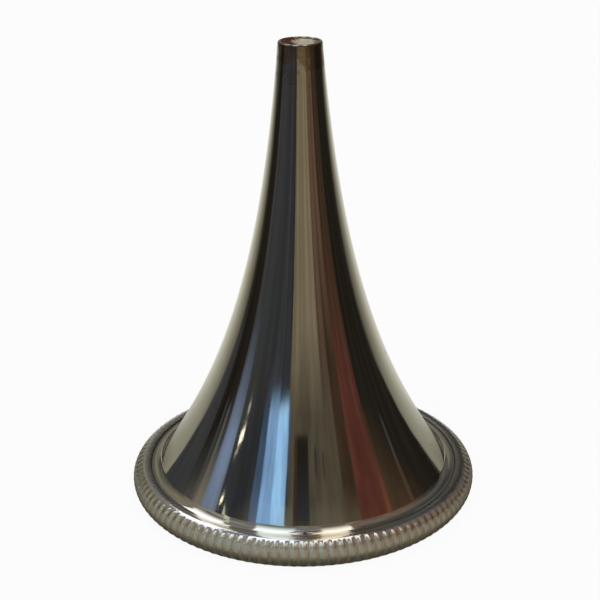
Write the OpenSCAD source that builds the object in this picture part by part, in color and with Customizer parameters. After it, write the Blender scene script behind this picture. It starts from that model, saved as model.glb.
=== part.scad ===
// Ear speculum: a spun, trumpet-shaped funnel with a milled finger rim.
// It stands on its mouth, with the narrow tip up. Lengths are in millimetres.

/* [Overall] */
// Length from the resting face to the end of the tip
length = 40.5; // [36:0.5:46]
// Diameter over the crests of the milled rim
rim_d = 31; // [29:0.5:34]

/* [Funnel] */
// Thickness of the spun sheet
wall = 0.4; // [0.3:0.05:0.5]
// Outside diameter of the tip
tip_d = 3.7; // [3.6:0.1:5]
// Diameter of the bore reamed into the tip
tip_bore_d = 3.1; // [2.6:0.1:3.3]
// Depth of that bore from the end of the tip
tip_bore_l = 1.5; // [1:0.1:3]
// Rate at which the flare dies away from the foot to the tip
flare = 2.1; // [1.6:0.1:2.8]
// Outside radius of the turn between the horn and its flange
foot_turn_r = 1; // [0.6:0.1:1.2]
// Width of the flat left on the flange, outside that turn
flange_flat = 0.15; // [0.1:0.05:0.3]

/* [Rim ring] */
// Diameter of the ring's round section
bead_d = 2.5; // [2.4:0.1:3]
// Width of the ring from its bore to its crests
ring_w = 2.15; // [2:0.05:2.2]
// Amount faced off the ring's underside
foot_flat = 0.1; // [0.05:0.05:0.2]
// Width of the rabbet that the funnel's flange lies in
rabbet_w = 0.5; // [0.4:0.05:0.7]
// Gap round the flange in its rabbet
rabbet_gap = 0.05; // [0.02:0.01:0.1]
// Depth of the flange's face below the rabbet's edge
flange_sink = 0.04; // [0:0.02:0.1]

/* [Milling] */
// Number of grooves milled across the rim
groove_count = 118; // [90:1:130]
// Depth of a groove
groove_depth = 0.1; // [0.06:0.02:0.2]
// Width of the crest left between two grooves
crest_w = 0.2; // [0.16:0.02:0.3]
// Where the grooves end at the top, in degrees above the middle of the ring's section
groove_top = 70; // [60:1:80]
// Where the grooves end at the bottom, in degrees below that middle
groove_bottom = 62; // [45:1:65]

/* [Solder] */
// Leg of the solder fillet under the flange
solder_leg = 0.4; // [0.25:0.05:0.45]

/* [Hidden] */
$fn = 96;

horn_steps = 48;
turn_steps = 10;
seat_steps = 2;
lip_steps = 8;
solder_steps = 6;
cut_margin = 0.5;

// The ring's section is a circle round bead_c, faced off at z = 0.
bead_r = bead_d / 2;
bead_c = [rim_d / 2 - bead_r, bead_r - foot_flat];
mouth_bore_r = rim_d / 2 - ring_w;
rabbet_r = mouth_bore_r + rabbet_w;
rabbet_top = bead_c.y + sqrt(bead_r ^ 2 - (bead_c.x - rabbet_r) ^ 2);
groove_w = PI * rim_d / groove_count - crest_w;

// The funnel's flange lies in the rabbet.
flange_r = rabbet_r - rabbet_gap;
flange_top = rabbet_top - flange_sink;
flange_under = flange_top - wall;

// The turn is an arc round turn_c, from the flange up to the foot of the horn.
turn_c = [flange_r - flange_flat, flange_top + foot_turn_r];
turn_under_r = foot_turn_r + wall;
tip_r = tip_d / 2;
tip_bore_r = tip_bore_d / 2;
lip_r = (tip_r - tip_bore_r) / 2;
horn_top = length - lip_r;
foot_lean = settled_lean(35, 12);
foot = turn_point(foot_lean);

// The point on the turn where the wall leans by this angle from upright
function turn_point(lean) = turn_c - foot_turn_r * [cos(lean), sin(lean)];

// The horn's slope at share t of its height, when its foot is at point p
function horn_slope(p, t) =
    (p.x - tip_r) * flare * exp(-flare * t) / ((1 - exp(-flare)) * (horn_top - p.y));

// The lean at which the horn leaves the turn without a corner
function settled_lean(guess, rounds) = rounds == 0 ? guess
    : settled_lean(atan(horn_slope(turn_point(guess), 0)), rounds - 1);

// The horn at share t of its height, this deep below its outside face
function horn_point(t, depth) =
    let (lean = atan(horn_slope(foot, t)))
    [tip_r + (foot.x - tip_r) * (exp(-flare * t) - exp(-flare)) / (1 - exp(-flare)),
        foot.y + (horn_top - foot.y) * t] - depth * [cos(lean), sin(lean)];

// Points on an arc round c, from one angle to another
function arc(c, r, from, to, steps) =
    [for (i = [0:steps]) let (a = from + (to - from) * i / steps) c + r * [cos(a), sin(a)]];

// Underside of the turn, in two parts: over the mouth, and over the ring
over_bore = 270 - asin((turn_c.x - mouth_bore_r) / turn_under_r);
under_mouth = arc(turn_c, turn_under_r, 180 + foot_lean, over_bore, turn_steps);
under_seat = arc(turn_c, turn_under_r, over_bore, 270, seat_steps);

// The funnel's section: flange, turn, horn, rounded lip, reamed bore and the inside again
module funnel_section() {
    outside = [for (i = [1:horn_steps - 1]) horn_point(i / horn_steps, 0)];
    inside = [for (i = [horn_steps - 1:-1:1]) horn_point(i / horn_steps, wall)];
    polygon(concat(
        [[flange_r, flange_under], [flange_r, flange_top]],
        arc(turn_c, foot_turn_r, 270, 180 + foot_lean, turn_steps),
        outside,
        arc([tip_r - lip_r, horn_top], lip_r, 0, 180, lip_steps),
        [[tip_bore_r, length - tip_bore_l]],
        [for (p = inside) if (p.y < length - tip_bore_l) p],
        under_mouth,
        [for (i = [1:seat_steps]) under_seat[i]]
    ));
}

module funnel() {
    color("silver") rotate_extrude() funnel_section();
}

// One groove cutter: a V that follows the round of the ring's section
module groove_cutter() {
    outside_r = bead_r + cut_margin;
    translate([bead_c.x, 0, bead_c.y])
        rotate([90, 0, 0])
            rotate_extrude(start = -groove_bottom, angle = groove_top + groove_bottom)
                polygon([
                    [bead_r - groove_depth, 0],
                    [bead_r, -groove_w / 2],
                    [outside_r, -groove_w / 2],
                    [outside_r, groove_w / 2],
                    [bead_r, groove_w / 2]
                ]);
}

module milled_ring() {
    color("gainsboro") difference() {
        rotate_extrude() translate(bead_c) circle(bead_r);
        translate([0, 0, -cut_margin]) cylinder(h = cut_margin, r = rim_d);
        cylinder(h = bead_d, r = mouth_bore_r);
        translate([0, 0, flange_under]) cylinder(h = bead_d, r = rabbet_r);
        for (i = [0:groove_count - 1])
            rotate([0, 0, i * 360 / groove_count]) groove_cutter();
    }
}

// Solder run into the corner between the ring's bore and the underside of the turn
module solder_seam() {
    against_turn = [for (p = under_mouth) if (p.x > mouth_bore_r - solder_leg) p];
    high = against_turn[0];
    low = [mouth_bore_r, flange_under - solder_leg];
    reach = high - turn_c;
    meeting = [mouth_bore_r, turn_c.y
        + (turn_under_r ^ 2 - (mouth_bore_r - turn_c.x) * reach.x) / reach.y];
    bend = (meeting + low) / 2;
    face = [for (i = [0:solder_steps - 1]) let (t = i / solder_steps)
        (1 - t) ^ 2 * low + 2 * t * (1 - t) * bend + t ^ 2 * high];
    color("darkgray") rotate_extrude() polygon(concat(against_turn, face));
}

funnel();
milled_ring();
solder_seam();
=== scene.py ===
import math
import random

import bmesh
import bpy
from mathutils import Matrix, Vector, noise


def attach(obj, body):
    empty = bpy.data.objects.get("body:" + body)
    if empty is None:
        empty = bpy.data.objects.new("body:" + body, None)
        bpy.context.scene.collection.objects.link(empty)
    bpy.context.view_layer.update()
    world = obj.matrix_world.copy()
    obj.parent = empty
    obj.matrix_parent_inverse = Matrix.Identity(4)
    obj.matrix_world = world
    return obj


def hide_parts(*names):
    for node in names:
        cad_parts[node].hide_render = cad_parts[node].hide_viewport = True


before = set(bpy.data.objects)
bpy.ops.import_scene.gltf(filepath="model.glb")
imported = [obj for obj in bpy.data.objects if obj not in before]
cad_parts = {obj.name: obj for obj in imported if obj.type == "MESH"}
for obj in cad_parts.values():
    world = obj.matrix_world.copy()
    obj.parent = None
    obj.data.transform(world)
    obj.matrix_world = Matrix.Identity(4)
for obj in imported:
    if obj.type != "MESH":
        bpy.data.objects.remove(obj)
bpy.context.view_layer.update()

mm = 0.001

# The camera: it stands a good hand's breadth in front of the speculum, a little above its
# tip. It looks down by 22 degrees, leans by less than half a degree and has a long lens.
camera_place = (0.0, -111.7 * mm, 63.4 * mm)
camera_pitch = math.radians(22.24)
camera_lean = math.radians(-0.41)
picture_width = 600
focal_length_in_pixels = 1379.3
axis_right_of_middle = 1.95

camera_data = bpy.data.cameras.new("camera")
camera_data.sensor_width = 36.0
camera_data.lens = camera_data.sensor_width * focal_length_in_pixels / picture_width
camera_data.shift_x = -axis_right_of_middle / picture_width
camera_data.clip_start = 5 * mm
camera = bpy.data.objects.new("camera", camera_data)
level_view = Matrix.Rotation(math.radians(90) - camera_pitch, 4, "X")
camera.matrix_world = (
    Matrix.Translation(camera_place) @ level_view @ Matrix.Rotation(camera_lean, 4, "Z")
)
bpy.context.scene.collection.objects.link(camera)
bpy.context.scene.camera = camera


# The funnel: one disc of sheet brass, spun over a steel former into a horn that turns out
# into a small flat flange at its foot. The tip is reamed and its end rolled over; the whole
# is nickel plated and buffed, bright outside and satin inside.
sheet = 0.4 * mm
tip_end = 40.5 * mm
tip_outside_r = 1.85 * mm
tip_bore_r = 1.55 * mm
tip_bore_depth = 1.5 * mm
flare_rate = 2.1
flange_edge_r = 13.8 * mm
flange_flat = 0.15 * mm
flange_face = 2.294 * mm
flange_back = flange_face - sheet
foot_turn_r = 1.0 * mm
foot_turn_middle = Vector((flange_edge_r - flange_flat, flange_face + foot_turn_r))
lip_r = (tip_outside_r - tip_bore_r) / 2
horn_top = tip_end - lip_r
satin_edge_r = 13.3 * mm
outside_rows = 84
inside_rows = 40
turn_rows = 12
under_turn_rows = 10
lip_rows = 12
spin_steps = 288
merge_gap = 0.0005 * mm


def arc_point(middle, radius, degrees):
    angle = math.radians(degrees)
    return middle + radius * Vector((math.cos(angle), math.sin(angle)))


def arc_points(middle, radius, start, end, steps):
    """Points on an arc in the section's plane, from one angle in degrees to another."""
    turn = (end - start) / steps
    return [arc_point(middle, radius, start + turn * step) for step in range(steps + 1)]


def horn_slope(foot, share):
    """How fast the horn's radius falls with its height, at this share of its height."""
    fall = (foot.x - tip_outside_r) * flare_rate * math.exp(-flare_rate * share)
    return fall / ((1 - math.exp(-flare_rate)) * (horn_top - foot.y))


def horn_point(foot, share, depth):
    """The horn's section at this share of its height, this deep under its outside."""
    spread = (math.exp(-flare_rate * share) - math.exp(-flare_rate)) / (1 - math.exp(-flare_rate))
    lean = math.atan(horn_slope(foot, share))
    outside = Vector((
        tip_outside_r + (foot.x - tip_outside_r) * spread,
        foot.y + (horn_top - foot.y) * share,
    ))
    return outside - depth * Vector((math.cos(lean), math.sin(lean)))


def draw_section(points):
    """A closed outline of radius and height, standing upright beside the axis."""
    section = bmesh.new()
    corners = [section.verts.new((point.x, 0.0, point.y)) for point in points]
    for corner, following in zip(corners, corners[1:] + corners[:1]):
        section.edges.new((corner, following))
    return section


def spin_full_turn(section, steps):
    bmesh.ops.spin(
        section,
        geom=section.verts[:] + section.edges[:],
        cent=(0, 0, 0),
        axis=(0, 0, 1),
        angle=math.tau,
        steps=steps,
        use_merge=True,
    )
    bmesh.ops.remove_doubles(section, verts=section.verts[:], dist=merge_gap)
    bmesh.ops.recalc_face_normals(section, faces=section.faces[:])


def finish_piece(shape, name, finishes, crease):
    """Turns a shape into an object with its finishes, smooth up to the crease angle."""
    mesh = bpy.data.meshes.new(name)
    shape.to_mesh(mesh)
    shape.free()
    for finish in finishes:
        mesh.materials.append(finish)
    mesh.polygons.foreach_set("use_smooth", [True] * len(mesh.polygons))
    mesh.set_sharp_from_angle(angle=math.radians(crease))
    piece = bpy.data.objects.new(name, mesh)
    bpy.context.scene.collection.objects.link(piece)
    return piece


def add_node(tree, kind, sockets=None, **options):
    """One shader node. A socket is given a value, or the output that feeds it."""
    made = tree.nodes.new(kind)
    for option, value in options.items():
        setattr(made, option, value)
    for socket, value in (sockets or {}).items():
        if isinstance(value, bpy.types.NodeSocket):
            tree.links.new(value, made.inputs[socket])
        else:
            made.inputs[socket].default_value = value
    return made


def calculate(tree, operation, first, second=0.0, third=0.0):
    made = add_node(
        tree, "ShaderNodeMath", {0: first, 1: second, 2: third}, operation=operation
    )
    return made.outputs[0]


def rescale(tree, value, low, high, new_low=0.0, new_high=1.0):
    """Smoothly maps low..high of a value onto the new range, and holds it there outside."""
    made = add_node(
        tree,
        "ShaderNodeMapRange",
        {"Value": value, "From Min": low, "From Max": high, "To Min": new_low, "To Max": new_high},
        interpolation_type="SMOOTHSTEP",
    )
    return made.outputs["Result"]


def blend_colours(tree, share, first, second):
    made = add_node(
        tree, "ShaderNodeMix", {"Factor": share, "A": first, "B": second}, data_type="RGBA"
    )
    return made.outputs["Result"]


def tint(tree, under, over, mask, most):
    """One colour laid over another where the mask is, at most this strongly."""
    return blend_colours(tree, calculate(tree, "MULTIPLY", mask, most), under, over)


def split_axes(tree, place):
    return add_node(tree, "ShaderNodeSeparateXYZ", {0: place}).outputs


def distance_from_axis(tree, place):
    level = add_node(
        tree, "ShaderNodeVectorMath", {0: place, 1: (1, 1, 0)}, operation="MULTIPLY"
    ).outputs[0]
    length = add_node(tree, "ShaderNodeVectorMath", {0: level}, operation="LENGTH")
    return length.outputs["Value"]


def raise_surface(tree, height, rise, under=None):
    """The normal of a surface that rises this far, on top of what is raised under it."""
    sockets = {"Strength": 1.0, "Distance": rise, "Height": height}
    if under is not None:
        sockets["Normal"] = under
    return add_node(tree, "ShaderNodeBump", sockets).outputs["Normal"]


def start_group(name, inputs, outputs):
    """An empty shader node group, with the nodes where its values come in and go out."""
    group = bpy.data.node_groups.new(name, "ShaderNodeTree")
    for label, value in inputs.items():
        kind = "NodeSocketVector" if value is None else "NodeSocketFloat"
        socket = group.interface.new_socket(label, in_out="INPUT", socket_type=kind)
        if value is not None:
            socket.default_value = value
    for label in outputs:
        group.interface.new_socket(label, in_out="OUTPUT", socket_type="NodeSocketFloat")
    return group, group.nodes.new("NodeGroupInput").outputs, group.nodes.new("NodeGroupOutput")


def place_group(tree, group, sockets):
    return add_node(tree, "ShaderNodeGroup", sockets, node_tree=group).outputs


def make_buffing_marks():
    """Hairlines that run round the axis, left by the buff on the turning work."""
    group, given, result = start_group(
        "buffing marks",
        {"Place": None, "Lines per metre": 9000.0, "Wander per metre": 120.0},
        ["Height", "Hairlines"],
    )
    axes = split_axes(group, given["Place"])
    from_axis = distance_from_axis(group, given["Place"])
    along = calculate(group, "SUBTRACT", axes["Z"], from_axis)
    stretched = add_node(group, "ShaderNodeCombineXYZ", {
        "X": calculate(group, "MULTIPLY", axes["X"], given["Wander per metre"]),
        "Y": calculate(group, "MULTIPLY", axes["Y"], given["Wander per metre"]),
        "Z": calculate(group, "MULTIPLY", along, given["Lines per metre"]),
    }).outputs[0]
    lines = add_node(
        group, "ShaderNodeTexNoise", {"Vector": stretched, "Scale": 1.0, "Detail": 3.0}
    ).outputs["Fac"]
    group.links.new(lines, result.inputs["Height"])
    group.links.new(rescale(group, lines, 0.52, 0.72), result.inputs["Hairlines"])
    return group


def make_handling_haze():
    """Soft clouds of tarnish and finger marks, with finer mottling inside them."""
    group, given, result = start_group(
        "handling haze", {"Place": None, "Clouds per metre": 160.0}, ["Clouds", "Mottle"]
    )
    clouds = add_node(group, "ShaderNodeTexNoise", {
        "Vector": given["Place"], "Scale": given["Clouds per metre"], "Detail": 4.0,
        "Roughness": 0.55, "Distortion": 0.4,
    }).outputs["Fac"]
    finer = calculate(group, "MULTIPLY", given["Clouds per metre"], 6.5)
    mottle = add_node(group, "ShaderNodeTexNoise", {
        "Vector": given["Place"], "Scale": finer, "Detail": 5.0, "Roughness": 0.65,
    }).outputs["Fac"]
    group.links.new(rescale(group, clouds, 0.42, 0.70), result.inputs["Clouds"])
    group.links.new(rescale(group, mottle, 0.35, 0.70), result.inputs["Mottle"])
    return group


def make_pits():
    """Scattered pinholes and specks in the plating, of many sizes."""
    group, given, result = start_group(
        "plating pits", {"Place": None, "Pits per metre": 900.0, "Share": 0.12}, ["Pits"]
    )
    cells = add_node(group, "ShaderNodeTexVoronoi", {
        "Vector": given["Place"], "Scale": given["Pits per metre"], "Randomness": 1.0,
    }).outputs
    chance = add_node(group, "ShaderNodeSeparateColor", {0: cells["Color"]}).outputs["Red"]
    chosen = calculate(group, "LESS_THAN", chance, given["Share"])
    reach = calculate(group, "MULTIPLY_ADD", chance, 0.9, 0.05)
    inside = calculate(group, "SUBTRACT", reach, cells["Distance"])
    spot = rescale(group, inside, 0.0, 0.05)
    group.links.new(calculate(group, "MULTIPLY", spot, chosen), result.inputs["Pits"])
    return group


buffing_marks = make_buffing_marks()
handling_haze = make_handling_haze()
plating_pits = make_pits()

nickel_colour = (0.66, 0.615, 0.535, 1)
yellowed_nickel = (0.60, 0.53, 0.42, 1)
worn_tip_colour = (0.36, 0.27, 0.17, 1)
# Brown of tarnish and pits, also used for a painted dark reflection on the right of the tip's
# bore.
brown_tarnish_and_painted_reflection = (0.13, 0.085, 0.05, 1)
frosted_plate = (0.97, 0.89, 0.71, 1)
# Maroon of a painted dark reflection on the left of the tip's bore.
maroon_painted_reflection = (0.15, 0.065, 0.05, 1)


def start_finish(name):
    """An empty material, its node tree and the place of each point on the piece."""
    finish = bpy.data.materials.new(name)
    finish.use_nodes = True
    tree = finish.node_tree
    tree.nodes.clear()
    place = add_node(tree, "ShaderNodeTexCoord").outputs["Object"]
    return finish, tree, place


def end_finish(tree, shader):
    add_node(tree, "ShaderNodeOutputMaterial", {"Surface": shader})


def end_metal(tree, colour, metallic, roughness, normal):
    metal = add_node(tree, "ShaderNodeBsdfPrincipled", {
        "Base Color": colour, "Metallic": metallic, "Roughness": roughness, "Normal": normal,
    })
    end_finish(tree, metal.outputs[0])


def make_mirror_nickel():
    """Buffed plate outside: nearly a mirror, yellowed in clouds and worn brown at the tip."""
    finish, tree, place = start_finish("mirror nickel")
    height = split_axes(tree, place)["Z"]
    haze = place_group(tree, handling_haze, {"Place": place, "Clouds per metre": 150.0})
    lines = place_group(tree, buffing_marks, {"Place": place, "Lines per metre": 7000.0})
    pits = place_group(tree, plating_pits, {"Place": place, "Pits per metre": 700.0})["Pits"]

    ragged_height = calculate(tree, "MULTIPLY_ADD", haze["Mottle"], 3.5 * mm, height)
    worn = rescale(tree, ragged_height, 39.4 * mm, 41.6 * mm)
    toned = tint(tree, nickel_colour, yellowed_nickel, haze["Clouds"], 0.55)
    rubbed = tint(tree, toned, worn_tip_colour, worn, 0.9)
    specked = tint(tree, rubbed, brown_tarnish_and_painted_reflection, pits, 0.7)
    smooth = calculate(tree, "MULTIPLY_ADD", haze["Clouds"], 0.04, 0.05)
    lined = calculate(tree, "MULTIPLY_ADD", lines["Hairlines"], 0.03, smooth)
    roughness = calculate(tree, "MULTIPLY_ADD", worn, 0.10, lined)
    waves = add_node(
        tree, "ShaderNodeTexNoise", {"Vector": place, "Scale": 230.0, "Detail": 1.0}
    ).outputs["Fac"]
    rippled = raise_surface(tree, waves, 0.016 * mm)
    scored = raise_surface(tree, lines["Height"], 0.00025 * mm, rippled)
    end_metal(tree, specked, 1.0, roughness, scored)
    return finish


def make_satin_nickel():
    """Plate inside the funnel, where the buff hardly reached: satin and slightly stained.
    It is pale and frosted in the reamed bore of the tip, with painted dark reflections in maroon
    and brown at its sides."""
    finish, tree, place = start_finish("satin nickel")
    haze = place_group(tree, handling_haze, {"Place": place, "Clouds per metre": 260.0})
    lines = place_group(tree, buffing_marks, {"Place": place, "Lines per metre": 5000.0})
    toned = tint(tree, nickel_colour, yellowed_nickel, haze["Clouds"], 0.5)
    stained = tint(tree, toned, brown_tarnish_and_painted_reflection, haze["Mottle"], 0.08)
    axes = split_axes(tree, place)
    frosted = rescale(tree, axes["Z"], 37.6 * mm, 39.2 * mm)
    frosty = blend_colours(tree, frosted, stained, frosted_plate)
    # Painted dark reflection: maroon on the left side of the bore, brown on its right.
    ragged = calculate(tree, "MULTIPLY_ADD", haze["Mottle"], -0.8 * mm, axes["X"])
    maroon = rescale(tree, ragged, -0.55 * mm, -1.10 * mm)
    left_reflection_painted = tint(tree, frosty, maroon_painted_reflection, maroon, frosted)
    brown = rescale(tree, axes["X"], 0.9 * mm, 1.4 * mm, 0.0, 0.8)
    both_sides_reflection_painted = tint(tree, left_reflection_painted, brown_tarnish_and_painted_reflection, brown, frosted)
    lined = calculate(tree, "MULTIPLY_ADD", lines["Hairlines"], 0.08, 0.17)
    roughness = calculate(tree, "MULTIPLY_ADD", frosted, 0.25, lined)
    metallic = calculate(tree, "MULTIPLY_ADD", frosted, -0.95, 1.0)
    scored = raise_surface(tree, lines["Height"], 0.001 * mm)
    end_metal(tree, both_sides_reflection_painted, metallic, roughness, scored)
    return finish


# The horn leaves the turn without a corner: its lean there settles in a few rounds.
turn_end = 180 + 35
for settling in range(12):
    foot = arc_point(foot_turn_middle, foot_turn_r, turn_end)
    turn_end = 180 + math.degrees(math.atan(horn_slope(foot, 0)))

# The last degrees of the turn are burnished into a crease, with its corner just rounded.
crease_turn = 9
crease_rounding = 0.2
crease_reach = foot_turn_r / math.cos(math.radians(crease_turn / 2))
crease_corner = arc_point(foot_turn_middle, crease_reach, turn_end + crease_turn / 2)
turn_points = arc_points(
    foot_turn_middle, foot_turn_r, 270, turn_end + crease_turn, turn_rows
)
outside_points = (
    [Vector((flange_edge_r, flange_back)), Vector((flange_edge_r, flange_face))]
    + turn_points
    + [crease_corner.lerp(side, crease_rounding) for side in (turn_points[-1], foot)]
    + [horn_point(foot, row / outside_rows, 0) for row in range(outside_rows)]
    + arc_points(Vector((tip_outside_r - lip_r, horn_top)), lip_r, 0, 180, lip_rows)
)
inside_horn = [horn_point(foot, row / inside_rows, sheet) for row in range(inside_rows - 1, 0, -1)]
inside_points = (
    [Vector((tip_bore_r, tip_end - tip_bore_depth))]
    + [point for point in inside_horn if point.y < tip_end - tip_bore_depth]
    + arc_points(foot_turn_middle, foot_turn_r + sheet, turn_end, 270, under_turn_rows)
)
funnel_shape = draw_section(outside_points + inside_points)
spin_full_turn(funnel_shape, spin_steps)
for face in funnel_shape.faces:
    middle = face.calc_center_median()
    faces_axis = face.normal.x * middle.x + face.normal.y * middle.y < 0
    in_mouth = math.hypot(middle.x, middle.y) < satin_edge_r
    if faces_axis and in_mouth and middle.z < horn_top:
        face.material_index = 1
funnel = finish_piece(
    funnel_shape, "spun_funnel", [make_mirror_nickel(), make_satin_nickel()], 40
)
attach(funnel, "root")
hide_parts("funnel")


# The rim ring: a brass ring of round section, turned with a rabbet for the flange and faced
# flat underneath. A straight wheel milled 118 grooves across its round, so that two fingers
# can turn the speculum in the ear. It is plated with the funnel; dirt sits in the grooves.
rim_r = 15.5 * mm
bead_r = 1.25 * mm
foot_flat = 0.1 * mm
bead_middle = Vector((rim_r - bead_r, bead_r - foot_flat))
ring_bore_r = 13.35 * mm
rabbet_gap = 0.05 * mm
rabbet_r = flange_edge_r + rabbet_gap
rabbet_bevel = 0.03 * mm
near = 0.01 * mm
milled_from = -62
milled_to = 70
groove_count = 118
groove_depth = 0.1 * mm
shallowest_groove = 0.92
low_milled_rows = 7
high_milled_rows = 8
crown_rows = 6
bore_rows = 3
uneven_milling = random.Random(118)

# Each groove and its crest take five columns of corners; three of them are sunk.
columns_per_groove = 5
sunk_shares = {4: 0.56, 0: 1.0, 1: 0.56}
column_count = groove_count * columns_per_groove
column_turn = math.tau / column_count

rim_plate = (0.72, 0.69, 0.68, 1)
worn_rim = (0.84, 0.77, 0.60, 1)
groove_dirt = (0.24, 0.18, 0.11, 1)
# Colour of the painted shade by the joint with the funnel.
joint_shade_colour = (0.060, 0.045, 0.032, 1)


def make_milled_nickel():
    """Worn crests between grooves that hold brown dirt. The rim is dull where fingers hold
    it, and darkened with painted shade by the joint with the funnel, more on the right, except at
    the front."""
    finish, tree, place = start_finish("milled nickel")
    sunk = add_node(
        tree, "ShaderNodeAttribute", attribute_name="sunk", attribute_type="GEOMETRY"
    ).outputs["Fac"]
    haze = place_group(tree, handling_haze, {"Place": place, "Clouds per metre": 240.0})
    lines = place_group(tree, buffing_marks, {"Place": place, "Lines per metre": 8000.0})
    pits = place_group(tree, plating_pits, {"Place": place, "Pits per metre": 900.0})["Pits"]
    ragged = calculate(tree, "MULTIPLY_ADD", haze["Mottle"], 0.30, sunk)
    dirt = rescale(tree, ragged, 0.62, 1.15)
    toned = tint(tree, rim_plate, yellowed_nickel, haze["Clouds"], 0.6)
    specked = tint(tree, toned, brown_tarnish_and_painted_reflection, pits, 0.6)
    axes = split_axes(tree, place)
    milled = rescale(tree, axes["Z"], 2.34 * mm, 2.12 * mm)
    rubbed = blend_colours(tree, milled, specked, worn_rim)
    dirty = tint(tree, rubbed, groove_dirt, dirt, 0.75)

    # Painted shade: the crown darkens towards the joint with the funnel, more on the right side,
    # and not at the front.
    from_axis = distance_from_axis(tree, place)
    right_side = calculate(tree, "MAXIMUM", axes["X"], 0.0)
    drawn_in = calculate(tree, "MULTIPLY_ADD", right_side, -0.03, from_axis)
    ragged_r = calculate(tree, "MULTIPLY_ADD", haze["Mottle"], 0.15 * mm, drawn_in)
    by_joint = rescale(tree, ragged_r, 14.50 * mm, 14.10 * mm)
    behind_front = rescale(tree, axes["Y"], -10.5 * mm, -7.5 * mm, 0.0, 0.8)
    joint_shade_mask = calculate(tree, "MULTIPLY", by_joint, behind_front)
    joint_shaded = blend_colours(tree, joint_shade_mask, dirty, joint_shade_colour)

    smooth = calculate(tree, "MULTIPLY_ADD", haze["Clouds"], 0.04, 0.06)
    lined = calculate(tree, "MULTIPLY_ADD", lines["Hairlines"], 0.03, smooth)
    worn = calculate(tree, "MULTIPLY_ADD", milled, 0.12, lined)
    thumbed = rescale(tree, axes["Z"], 2.04 * mm, 1.78 * mm)
    dulled = calculate(tree, "MULTIPLY_ADD", thumbed, 0.30, worn)
    dusty = calculate(tree, "MULTIPLY_ADD", dirt, 0.10, dulled)
    roughness = calculate(tree, "MULTIPLY_ADD", joint_shade_mask, 0.3, dusty)

    film = rescale(tree, axes["Z"], 0.95 * mm, 1.4 * mm, -0.04, -0.12)
    filmed = calculate(tree, "MULTIPLY_ADD", thumbed, film, 1.0)
    metallic = calculate(tree, "MULTIPLY_ADD", dirt, -0.25, filmed)
    scored = raise_surface(tree, haze["Mottle"], 0.002 * mm)
    end_metal(tree, joint_shaded, metallic, roughness, scored)
    return finish


def circle_angle(height, side):
    """The angle on the bead's section where it passes this height, outside or inside."""
    angle = math.degrees(math.asin((height - bead_middle.y) / bead_r))
    return angle if side == "outside" else 180 - angle


bore_foot = circle_angle(0, "inside")
bore_start = 180 + math.degrees(math.acos((bead_middle.x - ring_bore_r) / bead_r))
rabbet_lip = math.degrees(math.acos((rabbet_r - bead_middle.x) / bead_r))
ring_section = draw_section(
    arc_points(bead_middle, bead_r, circle_angle(0, "outside"), milled_from, 1)
    + arc_points(bead_middle, bead_r, milled_from, 0, low_milled_rows)[1:]
    + arc_points(bead_middle, bead_r, 0, milled_to, high_milled_rows)[1:]
    + arc_points(bead_middle, bead_r, milled_to, rabbet_lip, crown_rows)[1:]
    + [Vector((rabbet_r, flange_back)), Vector((ring_bore_r, flange_back))]
    + arc_points(bead_middle, bead_r, bore_start, bore_foot, bore_rows)
)
rabbet_corners = [
    corner for corner in ring_section.verts
    if corner.co.x < rabbet_r + near and corner.co.z > flange_back - near
]
bmesh.ops.bevel(
    ring_section, geom=rabbet_corners, affect="VERTICES", offset=rabbet_bevel,
    offset_type="OFFSET", segments=2, profile=0.5, material=-1,
)
spin_full_turn(ring_section, column_count)
sunk_layer = ring_section.verts.layers.float.new("sunk")
columns = {}
for corner in ring_section.verts:
    outwards = math.hypot(corner.co.x, corner.co.y) - bead_middle.x
    angle = math.degrees(math.atan2(corner.co.z - bead_middle.y, outwards))
    if milled_from + 1 < angle < milled_to - 1:
        column = round(math.atan2(corner.co.y, corner.co.x) / column_turn)
        columns.setdefault(column % column_count, []).append(corner)
for column, corners in sorted(columns.items()):
    share = sunk_shares.get(column % columns_per_groove, 0.0)
    if share:
        turned = Matrix.Rotation(column * column_turn, 4, "Z")
        middle = turned @ Vector((bead_middle.x, 0, bead_middle.y))
        depth = groove_depth * share * uneven_milling.uniform(shallowest_groove, 1.0)
        closer = (bead_r - depth) / bead_r
        bmesh.ops.scale(
            ring_section, vec=(closer, closer, closer),
            space=Matrix.Translation(-middle), verts=corners,
        )
        for corner in corners:
            corner[sunk_layer] = share
ring = finish_piece(ring_section, "milled_rim", [make_milled_nickel()], 35)
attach(ring, "root")
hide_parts("milled_ring")


# The solder seam: soft solder run round the corner between the ring's bore and the turn of
# the funnel. It is only seen from underneath: a dull, slightly lumpy fillet.
solder_leg = 0.4 * mm
solder_face_rows = 9
solder_steps = 240
lump = 0.025 * mm
solder_grey = (0.44, 0.43, 0.41, 1)
dark_solder = (0.30, 0.29, 0.27, 1)
old_flux = (0.11, 0.075, 0.04, 1)


def make_soft_solder():
    """Tin and lead solder under a thin plate, dull and stained with old flux."""
    finish, tree, place = start_finish("soft solder")
    haze = place_group(tree, handling_haze, {"Place": place, "Clouds per metre": 420.0})
    pits = place_group(
        tree, plating_pits, {"Place": place, "Pits per metre": 1400.0, "Share": 0.2}
    )["Pits"]
    clouded = blend_colours(tree, haze["Clouds"], solder_grey, dark_solder)
    fluxed = tint(tree, clouded, old_flux, pits, 0.8)
    roughness = calculate(tree, "MULTIPLY_ADD", haze["Mottle"], 0.22, 0.34)
    grained = raise_surface(tree, haze["Mottle"], 0.008 * mm)
    end_metal(tree, fluxed, 0.9, roughness, grained)
    return finish


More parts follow.
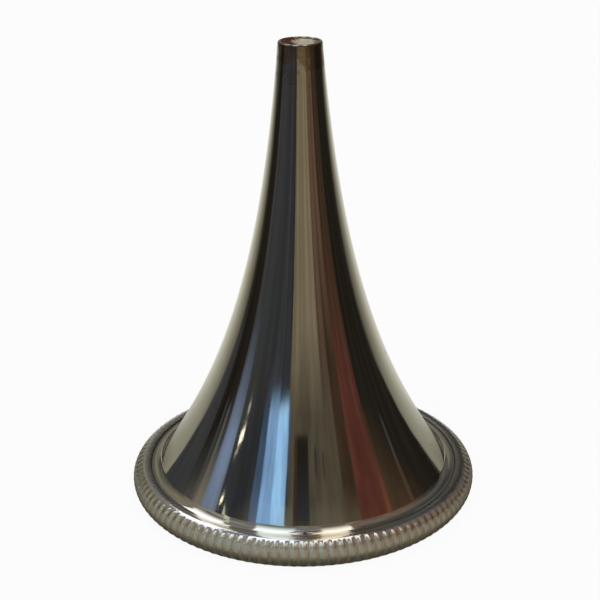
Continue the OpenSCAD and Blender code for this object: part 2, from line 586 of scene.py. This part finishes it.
under_turn_r = foot_turn_r + sheet
over_bore = 270 - math.degrees(math.asin((foot_turn_middle.x - ring_bore_r) / under_turn_r))
under_turn = [
    point
    for point in arc_points(foot_turn_middle, under_turn_r, turn_end, over_bore, under_turn_rows)
    if point.x > ring_bore_r - solder_leg
]
solder_high = under_turn[0]
solder_low = Vector((ring_bore_r, flange_back - solder_leg))
reach = solder_high - foot_turn_middle
tangent_meeting = Vector((
    ring_bore_r,
    foot_turn_middle.y
    + (under_turn_r ** 2 - (ring_bore_r - foot_turn_middle.x) * reach.x) / reach.y,
))
solder_bend = (tangent_meeting + solder_low) / 2
solder_face = []
for row in range(solder_face_rows):
    share = row / solder_face_rows
    solder_face.append(
        (1 - share) ** 2 * solder_low + 2 * share * (1 - share) * solder_bend
        + share ** 2 * solder_high
    )
seam_shape = draw_section(under_turn + solder_face)
spin_full_turn(seam_shape, solder_steps)
for corner in seam_shape.verts[:]:
    spot = Vector((math.hypot(corner.co.x, corner.co.y), corner.co.z))
    if any((spot - point).length < near for point in solder_face[1:]):
        swell = noise.noise(corner.co * 420) * 0.5 + noise.noise(corner.co * 1100) * 0.3
        hollow = corner.normal * lump * min(swell, 0.0)
        bmesh.ops.translate(seam_shape, verts=[corner], vec=hollow)
seam = finish_piece(seam_shape, "solder_fillet", [make_soft_solder()], 40)
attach(seam, "root")
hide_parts("solder_seam")


# The table: a wide pale sheet that the speculum stands on. Its white comes from its colour
# and from what the camera, gloss and glass see of it; it still takes the soft shadow.
table_r = 3.0
table_sides = 64
table_white = (0.88, 0.88, 0.87, 1)
pure_white = (1, 1, 1, 1)
own_white_share = 0.93
stage_crease = 30


def seen_or_mirrored(tree):
    """Is 1 for what the camera sees, straight or through gloss and glass, and 0 for light."""
    ray = add_node(tree, "ShaderNodeLightPath").outputs
    mirrored = calculate(tree, "MAXIMUM", ray["Is Glossy Ray"], ray["Is Transmission Ray"])
    return calculate(tree, "MAXIMUM", ray["Is Camera Ray"], mirrored)


def mix_shaders(tree, share, first, second):
    return add_node(tree, "ShaderNodeMixShader", {0: share, 1: first, 2: second}).outputs[0]


def clear_from_below(tree, shader):
    """Lets a view from underneath see through to the speculum."""
    underneath = add_node(tree, "ShaderNodeNewGeometry").outputs["Backfacing"]
    clear = add_node(tree, "ShaderNodeBsdfTransparent").outputs[0]
    return mix_shaders(tree, underneath, shader, clear)


def make_table_finish():
    finish, tree, place = start_finish("white table")
    paper = add_node(tree, "ShaderNodeBsdfDiffuse", {"Color": table_white}).outputs[0]
    white = add_node(tree, "ShaderNodeEmission", {"Color": pure_white}).outputs[0]
    share = calculate(tree, "MULTIPLY", seen_or_mirrored(tree), own_white_share)
    lit = mix_shaders(tree, share, paper, white)
    end_finish(tree, clear_from_below(tree, lit))
    return finish


table_shape = bmesh.new()
bmesh.ops.create_circle(table_shape, cap_ends=True, radius=table_r, segments=table_sides)
table = finish_piece(table_shape, "table", [make_table_finish()], stage_crease)


# The tent: gores of toned card hung round the table, out of the camera's sight, for the
# bright metal to mirror. Each runs in over the table at its foot, stands up two metres off
# and runs in overhead to the middle, with its tone changing on the way up.
tent_r = 2.0
tent_shoulder = 38
tent_height = tent_r * math.tan(math.radians(tent_shoulder))
tent_foot_r = 0.30
tent_eye_r = 0.01
gore_lift = 0.4 * mm
degrees_per_step = 3


def direction_of(tree, place):
    return add_node(
        tree, "ShaderNodeVectorMath", {0: place}, operation="NORMALIZE"
    ).outputs[0]


def make_room_shading():
    """Slow upright streaks, because no room round a piece of metal is evenly toned."""
    group, given, result = start_group("room shading", {"Place": None}, ["Shade"])
    stretched = add_node(
        group,
        "ShaderNodeVectorMath",
        {0: direction_of(group, given["Place"]), 1: (9.0, 9.0, 2.2)},
        operation="MULTIPLY",
    ).outputs[0]
    streaks = add_node(
        group, "ShaderNodeTexNoise", {"Vector": stretched, "Scale": 1.0, "Detail": 4.0}
    ).outputs["Fac"]
    group.links.new(rescale(group, streaks, 0.28, 0.72, 0.76, 1.24), result.inputs["Shade"])
    return group


room_shading = make_room_shading()


def ramp_tones(tree, position, tones):
    """Tones given at positions from 0 to 1, in rising order, and blended in between."""
    ramp = add_node(tree, "ShaderNodeValToRGB", {"Fac": position})
    stops = ramp.color_ramp.elements
    stops[0].position = tones[0][0]
    stops[1].position = tones[-1][0]
    for spot, tone in tones[1:-1]:
        stops.new(spot)
    for stop, (spot, tone) in zip(stops, tones):
        stop.color = (*tone, 1)
    return ramp.outputs["Color"]


def glow(tree, tone, shade):
    """Light of this tone, brighter or darker by the shade."""
    shaded = add_node(
        tree, "ShaderNodeVectorMath", {0: tone, "Scale": shade}, operation="SCALE"
    ).outputs[0]
    return add_node(tree, "ShaderNodeEmission", {"Color": shaded}).outputs[0]


def make_gore_tone(name, tones):
    """Tones given at heights of view in degrees, from the table up."""
    finish, tree, place = start_finish(name)
    upwards = split_axes(tree, direction_of(tree, place))["Z"]
    quarter_turns = calculate(tree, "MULTIPLY", calculate(tree, "ARCSINE", upwards), 2 / math.pi)
    tone = ramp_tones(tree, quarter_turns, [(degrees / 90, tone) for degrees, tone in tones])
    shade = place_group(tree, room_shading, {"Place": place})["Shade"]
    end_finish(tree, glow(tree, tone, shade))
    return finish


def show_to_gloss_alone(card):
    card.visible_camera = False
    card.visible_diffuse = False
    card.visible_shadow = False


def turn_strip(profile, left, right):
    """A strip turned about the axis between two bearings, from its radii and heights.
    Bearing 0 is behind the camera, and the camera's right is positive."""
    strip = bmesh.new()
    start = math.radians(left)
    corners = [
        strip.verts.new((reach * math.sin(start), -reach * math.cos(start), height))
        for reach, height in profile
    ]
    for corner, following in zip(corners, corners[1:]):
        strip.edges.new((corner, following))
    bmesh.ops.spin(
        strip, geom=strip.verts[:] + strip.edges[:], cent=(0, 0, 0), axis=(0, 0, 1),
        angle=math.radians(right - left), steps=max(2, round((right - left) / degrees_per_step)),
    )
    return strip


def hang_gore(name, left, right, tones):
    """One gore between two bearings, with its tones from the table up."""
    profile = [
        (tent_foot_r, gore_lift), (tent_r, gore_lift),
        (tent_r, tent_height), (tent_eye_r, tent_height),
    ]
    tone = make_gore_tone(name + "_tone", tones)
    gore = finish_piece(turn_strip(profile, left, right), name, [tone], stage_crease)
    show_to_gloss_alone(gore)


night = (0.020, 0.018, 0.015)
dark_room = (0.035, 0.04, 0.05)
dim_room = (0.055, 0.06, 0.07)
grey_wall = (0.12, 0.12, 0.11)
green_wall = (0.16, 0.17, 0.12)
pale_wall = (0.25, 0.24, 0.20)
tan_wall = (0.24, 0.21, 0.15)
shaded_tan = (0.10, 0.09, 0.07)
brown_board = (0.055, 0.037, 0.025)
light_brown = (0.13, 0.085, 0.06)
red_cloth = (0.125, 0.045, 0.036)
pale_cloth = (0.38, 0.36, 0.31)
curtain = (0.08, 0.13, 0.24)
side_window = (0.20, 0.28, 0.46)
hazy_window = (0.26, 0.49, 0.90)
bright_window = (0.39, 0.76, 1.30)
hazy_sky = (0.45, 0.58, 0.70)
cool_ceiling = (0.22, 0.22, 0.27)
brown_ceiling = (0.21, 0.16, 0.14)

hang_gore("gore_back", -188, -168, [
    (5, pale_wall), (16, pale_cloth), (27, grey_wall), (70, cool_ceiling),
])
hang_gore("gore_back_left", -168, -150, [(0, pale_wall), (40, pale_wall), (75, cool_ceiling)])
hang_gore("gore_left_behind", -150, -128, [
    (0, dim_room), (15, grey_wall), (28, green_wall), (39, pale_wall), (75, cool_ceiling),
])
hang_gore("gore_left", -128, -106, [
    (10, dim_room), (22, grey_wall), (36, tan_wall), (62, cool_ceiling),
])
hang_gore("gore_left_dark", -106, -86, [
    (7, night), (13, dim_room), (22, pale_wall), (33, pale_wall), (45, pale_cloth),
])
hang_gore("gore_side_window", -86, -73, [
    (3, dim_room), (15, side_window), (22, side_window), (42, pale_cloth), (60, cool_ceiling),
])
hang_gore("gore_dark_corner", -73, -46, [
    (14, dim_room), (20, dark_room), (29, dark_room), (40, green_wall), (60, cool_ceiling),
])
hang_gore("gore_curtain", -46, -39, [
    (12, dark_room), (24, curtain), (31, curtain), (42, cool_ceiling), (58, hazy_sky),
])
hang_gore("gore_window_left", -39, -28, [
    (16, dim_room), (19, hazy_window), (36, hazy_window), (46, cool_ceiling), (58, hazy_sky),
])
hang_gore("gore_window", -28, -16, [
    (18.3, dark_room), (19.6, bright_window), (35, bright_window), (41, hazy_sky),
])
hang_gore("gore_front", -16, 25, [
    (10, tan_wall), (21.5, shaded_tan), (34, shaded_tan), (44, pale_wall), (70, cool_ceiling),
])
hang_gore("gore_front_right", 25, 36, [
    (10, light_brown), (22, shaded_tan), (33, shaded_tan), (42, tan_wall), (54, pale_cloth),
])
hang_gore("gore_brown", 36, 48, [
    (0, light_brown), (12, brown_board), (29, brown_board), (42, tan_wall), (55, pale_cloth),
])
hang_gore("gore_red", 48, 72, [
    (0, brown_board), (14, red_cloth), (30, red_cloth), (38, light_brown), (52, brown_ceiling),
])
hang_gore("gore_right_front", 72, 106, [
    (11, night), (19, brown_board), (32, light_brown), (46, brown_ceiling),
])
hang_gore("gore_right", 106, 128, [(9, night), (28, dim_room), (46, brown_ceiling)])
hang_gore("gore_right_behind", 128, 150, [(0, dim_room), (10, grey_wall), (60, grey_wall)])
hang_gore("gore_back_right", 150, 172, [
    (0, pale_wall), (20, pale_wall), (31, dim_room), (75, grey_wall),
])


# The small cards: strips of card just inside the tent, for its smaller things. They are a
# doorway and its frame, the window's frame, four lit bulbs, two marks on the wall, an edge
# of the cloth and three thin streaks.
card_r = 0.95 * tent_r


def stand_card(name, left, right, low, high, low_tone, high_tone):
    """A card between two bearings and two heights of view, with a tone at foot and top."""
    low_z = card_r * math.tan(math.radians(low))
    high_z = card_r * math.tan(math.radians(high))
    finish, tree, place = start_finish(name + "_tone")
    height = rescale(tree, split_axes(tree, place)["Z"], low_z, high_z)
    tone = blend_colours(tree, height, (*low_tone, 1), (*high_tone, 1))
    end_finish(tree, glow(tree, tone, 1.0))
    strip = turn_strip([(card_r, low_z), (card_r, high_z)], left, right)
    show_to_gloss_alone(finish_piece(strip, name, [finish], stage_crease))


lit_bulb = (2.3, 2.2, 1.9)
dull_bulb = (0.7, 0.65, 0.6)
rust = (0.24, 0.10, 0.06)
stand_card("doorway", -6, 5, 24.5, 38.5, night, dark_room)
stand_card("door_frame", -9, -6, 24.5, 38.5, brown_board, brown_board)
stand_card("window_frame", -16, -13.5, 20, 35, curtain, dim_room)
stand_card("bulb_low", -66, -64, 14.0, 14.6, dull_bulb, lit_bulb)
stand_card("bulb_middle", -68.5, -64.5, 16.6, 18.3, lit_bulb, lit_bulb)
stand_card("bulb_dull", -69.5, -67, 18.9, 19.6, dull_bulb, dull_bulb)
stand_card("bulb_high", -71.5, -69.5, 24.6, 25.6, lit_bulb, lit_bulb)
stand_card("left_streak", -97.5, -95, 6, 22, dim_room, grey_wall)
stand_card("left_glint", -92.5, -90, 8, 22, grey_wall, pale_wall)
stand_card("rust_edge", 70, 73.5, 13, 31, brown_board, rust)
stand_card("right_streak", 91.5, 94, 9, 20, dim_room, light_brown)
stand_card("wall_mark_left", 11.5, 13.5, 26, 30, dark_room, dark_room)
stand_card("wall_mark_right", 19.5, 21, 26, 30, dark_room, dark_room)


# The laid sheet: a flat ring of card on the table round the speculum, which only gloss sees.
# It is half pale in front, dark at both sides and pale behind, with a painted shadow close to the
# rim in front and a darker outer edge. It keeps the metal's edges grey against the white.
sheet_lift = 0.02 * mm
sheet_inside_r = 14.85 * mm
sheet_outside_r = 1.1 * tent_foot_r
front_to_back_tones = [
    (0.25, (0.50, 0.47, 0.38)), (0.46, (0.040, 0.036, 0.028)), (0.66, (0.050, 0.045, 0.035)),
    (0.78, (0.30, 0.30, 0.25)), (0.98, (0.84, 0.84, 0.76)),
]


def make_sheet_tone():
    finish, tree, place = start_finish("laid_sheet_tone")
    backwards = split_axes(tree, direction_of(tree, place))["Y"]
    front_to_back = calculate(tree, "MULTIPLY_ADD", backwards, 0.5, 0.5)
    tone = ramp_tones(tree, front_to_back, front_to_back_tones)
    reach = distance_from_axis(tree, place)
    # Painted shadow of the rim on the sheet, in front of the speculum.
    rim_painted_shadow = rescale(tree, reach, 15.4 * mm, 28 * mm, -0.94, 0.0)
    in_front = rescale(tree, backwards, 0.4, 0.0)
    near_painted_shadow = calculate(tree, "MULTIPLY_ADD", rim_painted_shadow, in_front, 1.0)
    far_shade = rescale(tree, reach, 180 * mm, 300 * mm, 1.0, 0.4)
    both_shades = calculate(tree, "MULTIPLY", near_painted_shadow, far_shade)
    streaks = place_group(tree, room_shading, {"Place": place})["Shade"]
    faint_streaks = calculate(tree, "MULTIPLY_ADD", streaks, 0.3, 0.7)
    shade = calculate(tree, "MULTIPLY", faint_streaks, both_shades)
    end_finish(tree, clear_from_below(tree, glow(tree, tone, shade)))
    return finish


laid_shape = turn_strip(
    [(sheet_inside_r, sheet_lift), (sheet_outside_r, sheet_lift)], -180, 180
)
bmesh.ops.remove_doubles(laid_shape, verts=laid_shape.verts[:], dist=merge_gap)
bmesh.ops.recalc_face_normals(laid_shape, faces=laid_shape.faces[:])
if sum(face.normal.z for face in laid_shape.faces) < 0:
    bmesh.ops.reverse_faces(laid_shape, faces=laid_shape.faces[:])
laid_sheet = finish_piece(laid_shape, "laid_sheet", [make_sheet_tone()], stage_crease)
show_to_gloss_alone(laid_sheet)


# The lamp shades: long glowing wedges of cloth under the tent's roof, wide in front of the
# speculum and narrower towards the back. They are what the metal sees of the lamps.
shade_height = 0.9
unlit_brightness = 0.12


def hang_lamp_shade(name, rows, brightness, tone, fade_from, fade_to):
    """Rows of distance back, left edge and right edge, each for one metre of height."""
    cloth = bmesh.new()
    for edge in (1, 2):
        line = [
            cloth.verts.new((row[edge] * shade_height, row[0] * shade_height, shade_height))
            for row in rows
        ]
        for corner, following in zip(line, line[1:]):
            cloth.edges.new((corner, following))
    bmesh.ops.bridge_loops(cloth, edges=cloth.edges[:])
    finish, tree, place = start_finish(name + "_cloth")
    lit = rescale(
        tree, split_axes(tree, place)["Y"], fade_from * shade_height, fade_to * shade_height,
        unlit_brightness, brightness,
    )
    end_finish(tree, glow(tree, tone, lit))
    show_to_gloss_alone(finish_piece(cloth, name, [finish], stage_crease))


hang_lamp_shade(
    "shade_left",
    [(-0.80, -0.66, -0.09), (-0.45, -0.50, -0.08), (0.0, -0.31, -0.06), (0.30, -0.23, -0.065),
     (0.67, -0.16, -0.042), (1.03, -0.11, -0.03), (1.38, -0.085, -0.02)],
    1.9, (0.82, 0.96, 1.05), -0.85, 0.45,
)
hang_lamp_shade(
    "shade_right",
    [(-0.80, 0.20, 0.56), (-0.45, 0.165, 0.47), (0.0, 0.115, 0.32), (0.30, 0.08, 0.23),
     (0.68, 0.06, 0.155), (1.04, 0.04, 0.11), (1.38, 0.03, 0.085)],
    1.8, (1.0, 1.0, 0.95), -0.70, 0.45,
)
hang_lamp_shade(
    "shade_back_left",
    [(0.0, -1.10, -0.62), (0.44, -0.85, -0.38), (0.65, -0.59, -0.30), (0.94, -0.43, -0.22),
     (1.23, -0.32, -0.165), (1.40, -0.26, -0.14)],
    1.9, (0.95, 1.0, 1.06), 0.05, 0.85,
)
hang_lamp_shade(
    "shade_streak",
    [(-0.78, -1.85, -1.55), (-0.55, -1.34, -1.12), (-0.16, -0.84, -0.73),
     (0.13, -0.58, -0.50), (0.41, -0.41, -0.36)],
    0.70, (0.93, 1.0, 0.80), -2.0, -1.5,
)


# The lamps: two soft boxes above and in front, and the even light of a white room, at a
# level at which a colour renders about as it is written. The metal mirrors the shades instead.
lamp_width = 0.45
room_light = 0.55


def hang_lamp(name, place, brightness):
    """A square lamp that faces the speculum. Its brightness is how its own face would look."""
    lamp_data = bpy.data.lights.new(name, "AREA")
    lamp_data.shape = "SQUARE"
    lamp_data.size = lamp_width
    lamp_data.energy = brightness * math.pi * lamp_width ** 2
    lamp = bpy.data.objects.new(name, lamp_data)
    lamp.location = place
    lamp.rotation_euler = Vector(place).to_track_quat("Z", "Y").to_euler()
    lamp.visible_glossy = False
    bpy.context.scene.collection.objects.link(lamp)


hang_lamp("lamp_left", (-0.45, -0.60, 0.80), 2.8)
hang_lamp("lamp_right", (0.50, -0.50, 0.85), 2.4)

room = bpy.data.worlds.new("white room")
room.use_nodes = True
room_tree = room.node_tree
room_tree.nodes.clear()
room_strength = calculate(
    room_tree, "MULTIPLY_ADD", seen_or_mirrored(room_tree), 1.0 - room_light, room_light
)
room_glow = add_node(
    room_tree, "ShaderNodeBackground", {"Color": pure_white, "Strength": room_strength}
)
add_node(room_tree, "ShaderNodeOutputWorld", {"Surface": room_glow.outputs[0]})
bpy.context.scene.world = room
bpy.context.scene.view_settings.view_transform = "Standard"
